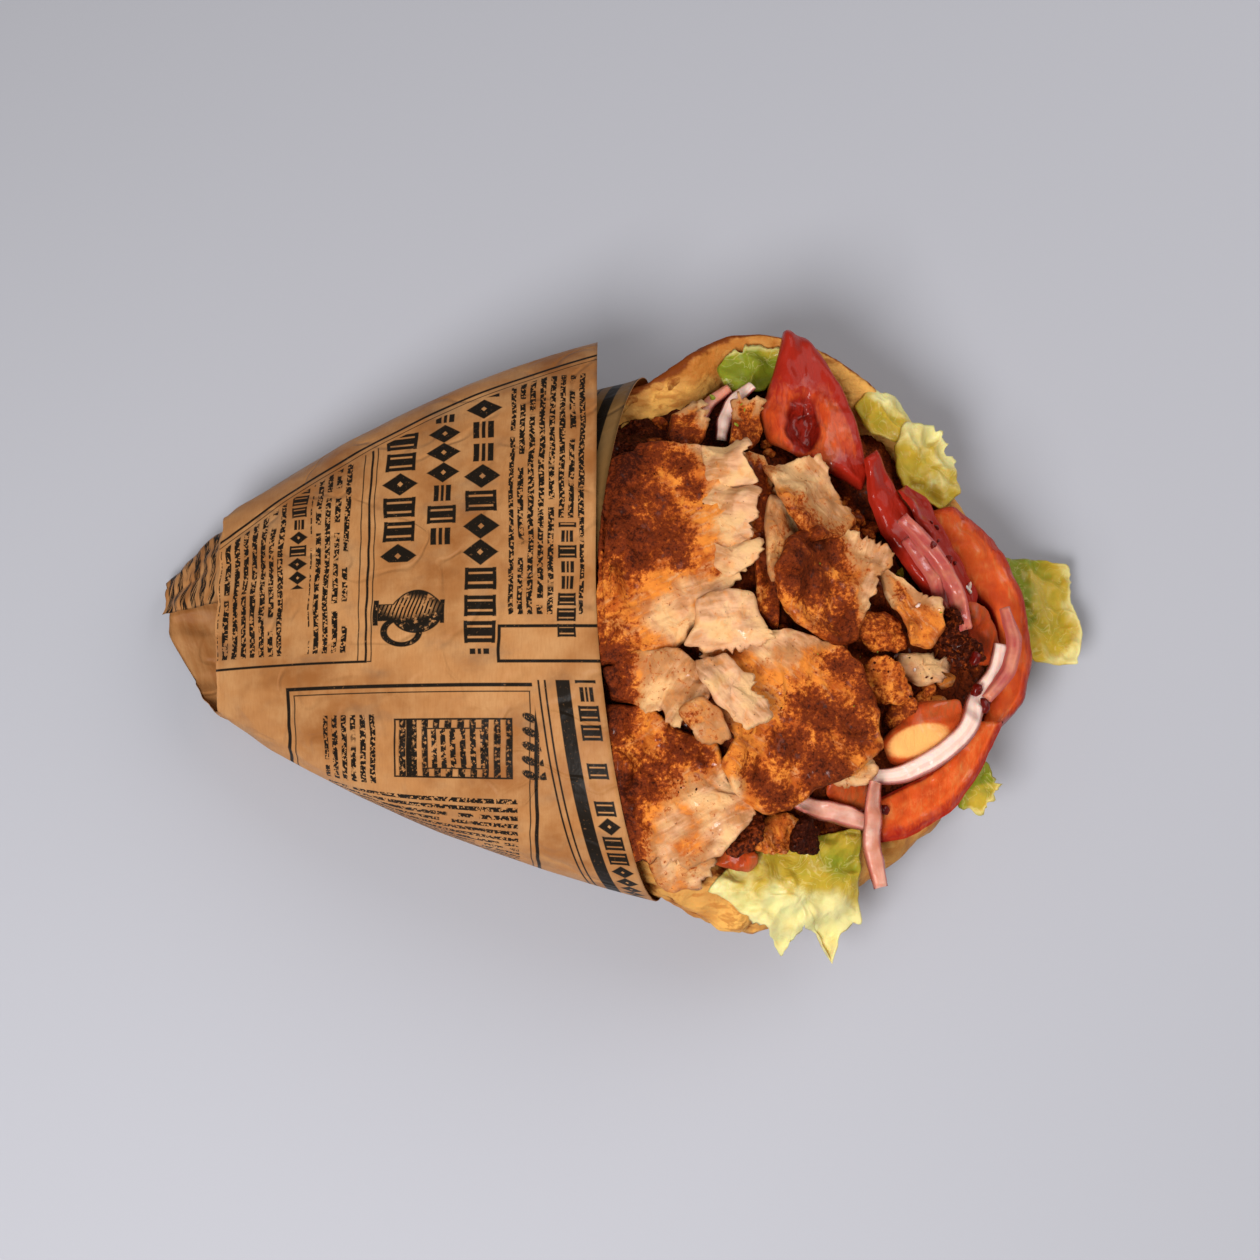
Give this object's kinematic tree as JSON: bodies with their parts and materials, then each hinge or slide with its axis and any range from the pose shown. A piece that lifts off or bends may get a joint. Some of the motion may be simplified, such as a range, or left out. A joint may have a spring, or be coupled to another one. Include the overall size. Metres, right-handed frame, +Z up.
{
  "type": "gyro wrap",
  "caption": "Chicken gyro in a rolled flatbread, held in a cone of printed kraft paper, with shaved chicken, tomato, red onion and lettuce heaped at the open end.",
  "frame": {"origin": "bottom centre of the object's bounding box, on the surface it rests on", "axes": "+X from the paper tip to the open end, +Y to the side where the bread's wall is high, +Z up"},
  "size_m": [0.2098, 0.1378, 0.0625],
  "materials": {
    "paper": "greaseproof kraft with dark brown print, satin",
    "bread": "grilled flatbread, golden with browned spots",
    "chicken": "shaved grilled chicken, brown crust and pale flesh",
    "char": "charred crust, near black",
    "tomato": "cut tomato, wet",
    "onion": "raw red onion, wet and translucent",
    "lettuce": "fresh lettuce leaf"
  },
  "bodies": {
    "root": {"chicken_centre": "chicken", "chicken_char_front": "char", "chicken_char_low": "char", "chicken_chunk_front": "chicken", "chicken_chunk_high": "chicken", "chicken_chunk_low": "chicken", "chicken_edge_low": "chicken", "chicken_flap": "chicken", "chicken_front": "chicken", "chicken_large_front": "chicken", "chicken_large_left": "chicken", "chicken_large_top": "chicken", "chicken_leaf": "chicken", "chicken_low_back": "chicken", "chicken_low_left": "chicken", "chicken_right": "chicken", "chicken_right_char": "char", "chicken_right_light": "chicken", "chicken_strip": "chicken", "chicken_tan_left": "chicken", "chicken_tan_low": "chicken", "chicken_top": "chicken", "chicken_white_strip": "chicken", "filling_core": "chicken", "flatbread": "bread", "lettuce_back": "lettuce", "lettuce_end": "lettuce", "lettuce_end_low": "lettuce", "lettuce_front": "lettuce", "lettuce_right": "lettuce", "lettuce_right_back": "lettuce", "onion_back": "onion", "onion_back_inner": "onion", "onion_end": "onion", "onion_end_outer": "onion", "onion_front": "onion", "onion_front_end": "onion", "onion_left": "onion", "onion_left_outer": "onion", "paper_wrap": "paper", "tomato_back": "tomato", "tomato_end": "tomato", "tomato_end_low": "tomato", "tomato_piece_end": "tomato", "tomato_piece_front": "tomato", "tomato_piece_low": "tomato", "tomato_strip": "tomato", "tomato_strip_low": "tomato", "tomato_wedge": "tomato"}
  },
  "joints": []
}
